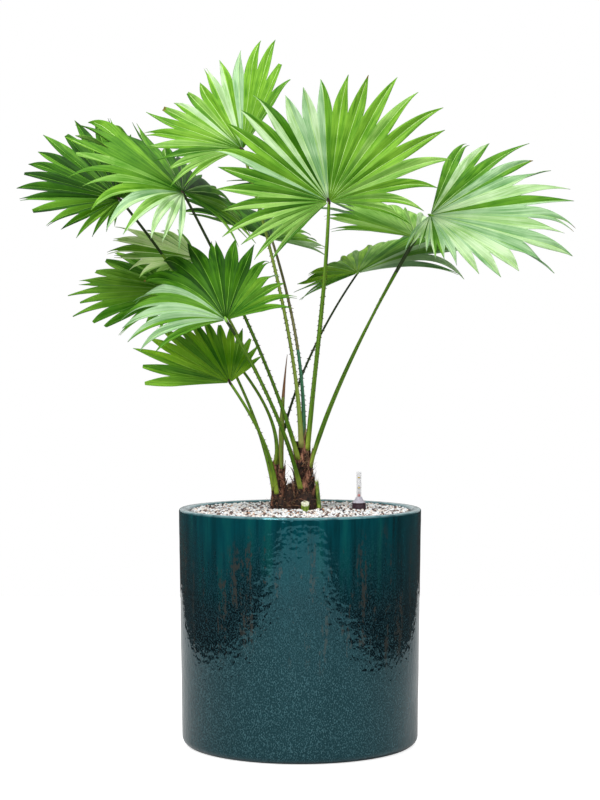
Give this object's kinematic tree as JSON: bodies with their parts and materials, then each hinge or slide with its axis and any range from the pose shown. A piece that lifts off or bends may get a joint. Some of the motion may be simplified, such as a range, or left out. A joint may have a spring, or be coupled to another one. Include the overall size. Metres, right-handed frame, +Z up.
{
  "type": "potted fan palm",
  "caption": "Low fan palm with split round leaves on long petioles, standing in mineral granules in a glazed cylinder pot with a water gauge.",
  "frame": {"origin": "centre of the flat underside of the pot", "axes": "+Z up, -Y towards the viewer of the picture, +X to the right of the picture"},
  "size_m": [0.7154, 0.4651, 0.9087],
  "materials": {
    "glaze": "gloss teal glaze with a fine crackle",
    "granules": "loose mineral granules, white, grey, brown and black",
    "fibre": "rough dark fibre over a woody stem",
    "stalk": "smooth green stalk",
    "leaf": "satin green leaf",
    "spear": "matt, brown and green",
    "stub": "pale cut stalk",
    "smoked_plastic": "smoked",
    "clear_plastic": "clear",
    "float_red": "plain red"
  },
  "bodies": {
    "root": {"pot": "glaze", "granule_fill": "granules", "stem_right": "fibre", "stem_left": "fibre", "petiole_upper_left": "stalk", "fan_upper_left": "leaf", "petiole_upper_right": "stalk", "fan_upper_right": "leaf", "petiole_far_left": "stalk", "fan_far_left": "leaf", "petiole_mid_left": "stalk", "fan_mid_left": "leaf", "petiole_centre_back": "stalk", "fan_centre_back": "leaf", "petiole_young_left": "stalk", "fan_young_left": "leaf", "petiole_low_back_left": "stalk", "fan_low_back_left": "leaf", "petiole_low_left": "stalk", "fan_low_left": "leaf", "petiole_lowest": "stalk", "fan_lowest": "leaf", "petiole_low_right": "stalk", "fan_low_right": "leaf", "petiole_far_right": "stalk", "fan_far_right": "leaf", "petiole_back_right": "stalk", "fan_back_right": "leaf", "petiole_upper_back": "stalk", "fan_upper_back": "leaf", "spear_leaf": "spear", "cut_stub_front": "stub", "cut_stub_side": "stub", "gauge_collar": "smoked_plastic", "gauge_tube": "clear_plastic"},
    "float": {"gauge_float": "float_red"}
  },
  "joints": [
    {"name": "float_rise", "type": "slide", "parent": "root", "child": "float", "axis": [0, 0, 1], "range_m": [0, 0.015]}
  ]
}
